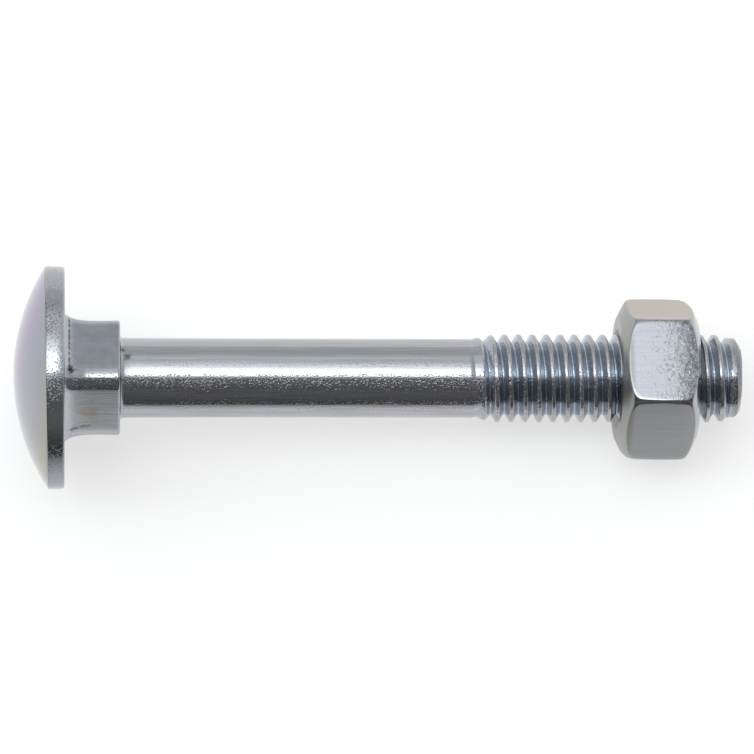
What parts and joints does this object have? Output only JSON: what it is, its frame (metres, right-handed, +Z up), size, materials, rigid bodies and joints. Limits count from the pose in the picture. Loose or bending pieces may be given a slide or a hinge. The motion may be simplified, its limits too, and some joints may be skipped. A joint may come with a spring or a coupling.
{
  "type": "carriage bolt with nut",
  "caption": "Domed-head bolt with a square neck, a plain shank and a rolled metric thread, with a hex nut run on near its tip, for clamping timber and steel.",
  "frame": {"origin": "on the floor, midway between the crown of the head and the tip, where the bolt lies at rest", "axes": "+X from the head to the tip, +Z up; the bolt's own axis falls 3.53 degrees towards the tip in the XZ plane"},
  "size_m": [0.0646, 0.0198, 0.0198],
  "materials": {
    "bolt_zinc": "bright zinc plate on forged and rolled steel",
    "nut_zinc": "bright zinc plate on formed steel"
  },
  "bodies": {
    "bolt": {"carriage_bolt": "bolt_zinc"},
    "nut": {"hex_nut": "nut_zinc"}
  },
  "joints": [
    {"name": "nut_travel", "type": "slide", "parent": "bolt", "child": "nut", "axis": [0.9981, 0, -0.0616], "range_m": [-0.01, 0.01]}
  ]
}
